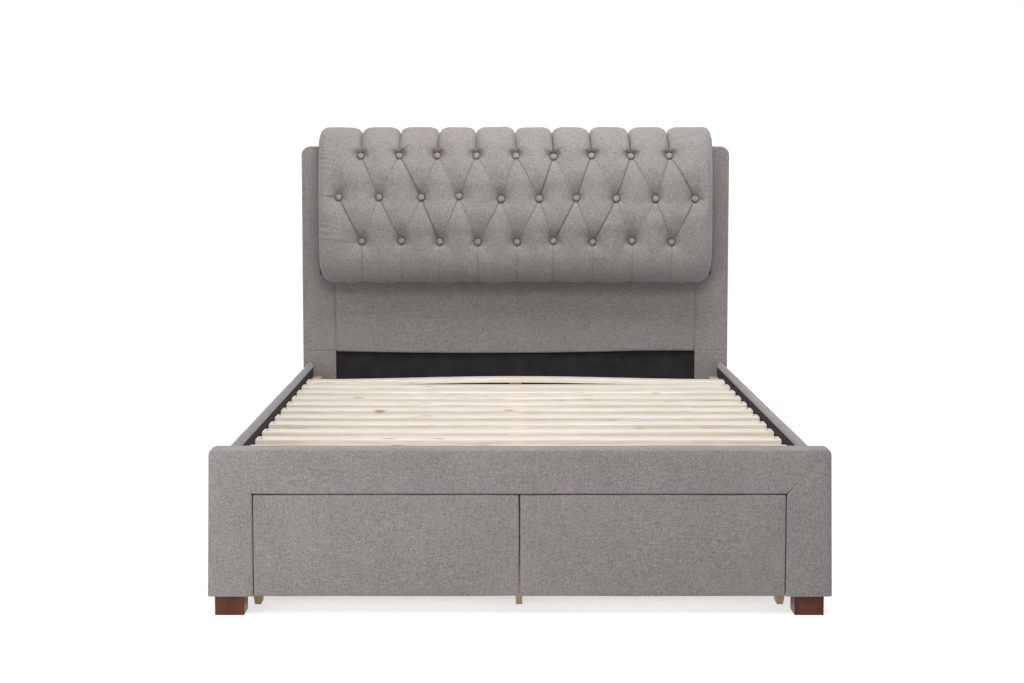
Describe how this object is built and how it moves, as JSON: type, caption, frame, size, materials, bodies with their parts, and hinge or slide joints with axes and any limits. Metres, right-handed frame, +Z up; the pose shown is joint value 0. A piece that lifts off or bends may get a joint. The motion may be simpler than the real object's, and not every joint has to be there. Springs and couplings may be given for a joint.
{
  "type": "platform bed with storage drawers",
  "caption": "Upholstered double platform bed with a button-tufted roll headboard, cross slats and two wide storage drawers that pull out of the foot end.",
  "frame": {"origin": "on the floor, under the middle of the bed", "axes": "+Y towards the headboard, +Z up, +X to the right of someone standing at the foot and facing the headboard"},
  "size_m": [1.48, 2.09, 1.192],
  "materials": {
    "upholstery": "light warm-grey woven linen look",
    "dust_cloth": "black non-woven lining cloth",
    "frame_timber": "sawn softwood",
    "slat_pine": "planed pale pine with knots",
    "support_pine": "planed pine",
    "foot_wood": "red-brown stained and lacquered",
    "drawer_board": "smooth drawer board",
    "slide_steel": "zinc-plated pressed steel"
  },
  "bodies": {
    "root": {"headboard_frame": "frame_timber", "headboard_panel_cover": "upholstery", "headboard_side_cover_left": "upholstery", "headboard_side_cover_right": "upholstery", "headboard_roll": "upholstery", "headboard_dust_cloth": "dust_cloth", "headboard_back_cloth": "dust_cloth", "headboard_foot_left": "foot_wood", "headboard_foot_right": "foot_wood", "footboard_frame": "frame_timber", "footboard_cover_top": "upholstery", "footboard_cover_left": "upholstery", "footboard_cover_right": "upholstery", "footboard_foot_left": "foot_wood", "footboard_foot_right": "foot_wood", "side_rail_left": "frame_timber", "side_rail_right": "frame_timber", "side_rail_cover_left": "upholstery", "side_rail_cover_right": "upholstery", "slat_ledge_left": "support_pine", "slat_ledge_right": "support_pine", "slat_01": "slat_pine", "slat_02": "slat_pine", "slat_03": "slat_pine", "slat_04": "slat_pine", "slat_05": "slat_pine", "slat_06": "slat_pine", "slat_07": "slat_pine", "slat_08": "slat_pine", "slat_09": "slat_pine", "slat_10": "slat_pine", "slat_11": "slat_pine", "slat_12": "slat_pine", "centre_beam": "support_pine", "centre_leg": "support_pine", "runner_board_left": "support_pine", "runner_board_centre": "support_pine", "runner_board_right": "support_pine", "left_inner_slide_fixed": "slide_steel", "left_outer_slide_fixed": "slide_steel", "right_inner_slide_fixed": "slide_steel", "right_outer_slide_fixed": "slide_steel"},
    "left_drawer": {"left_drawer_front": "upholstery", "left_drawer_inner_side": "drawer_board", "left_drawer_outer_side": "drawer_board", "left_drawer_back": "drawer_board", "left_drawer_base": "drawer_board", "left_inner_slide_moving": "slide_steel", "left_outer_slide_moving": "slide_steel"},
    "left_slide_carriage": {"left_inner_slide_middle": "slide_steel", "left_outer_slide_middle": "slide_steel"},
    "right_drawer": {"right_drawer_front": "upholstery", "right_drawer_inner_side": "drawer_board", "right_drawer_outer_side": "drawer_board", "right_drawer_back": "drawer_board", "right_drawer_base": "drawer_board", "right_inner_slide_moving": "slide_steel", "right_outer_slide_moving": "slide_steel"},
    "right_slide_carriage": {"right_inner_slide_middle": "slide_steel", "right_outer_slide_middle": "slide_steel"}
  },
  "joints": [
    {"name": "left_drawer_pull", "type": "slide", "parent": "root", "child": "left_drawer", "axis": [0, -1, 0], "range_m": [0, 0.5]},
    {"name": "left_carriage_travel", "type": "slide", "parent": "root", "child": "left_slide_carriage", "axis": [0, -1, 0], "range_m": [0, 0.25]},
    {"name": "right_drawer_pull", "type": "slide", "parent": "root", "child": "right_drawer", "axis": [0, -1, 0], "range_m": [0, 0.5]},
    {"name": "right_carriage_travel", "type": "slide", "parent": "root", "child": "right_slide_carriage", "axis": [0, -1, 0], "range_m": [0, 0.25]}
  ],
  "couplings": [
    {"joint": "left_carriage_travel", "follows": "left_drawer_pull", "ratio": 0.5},
    {"joint": "right_carriage_travel", "follows": "right_drawer_pull", "ratio": 0.5}
  ]
}
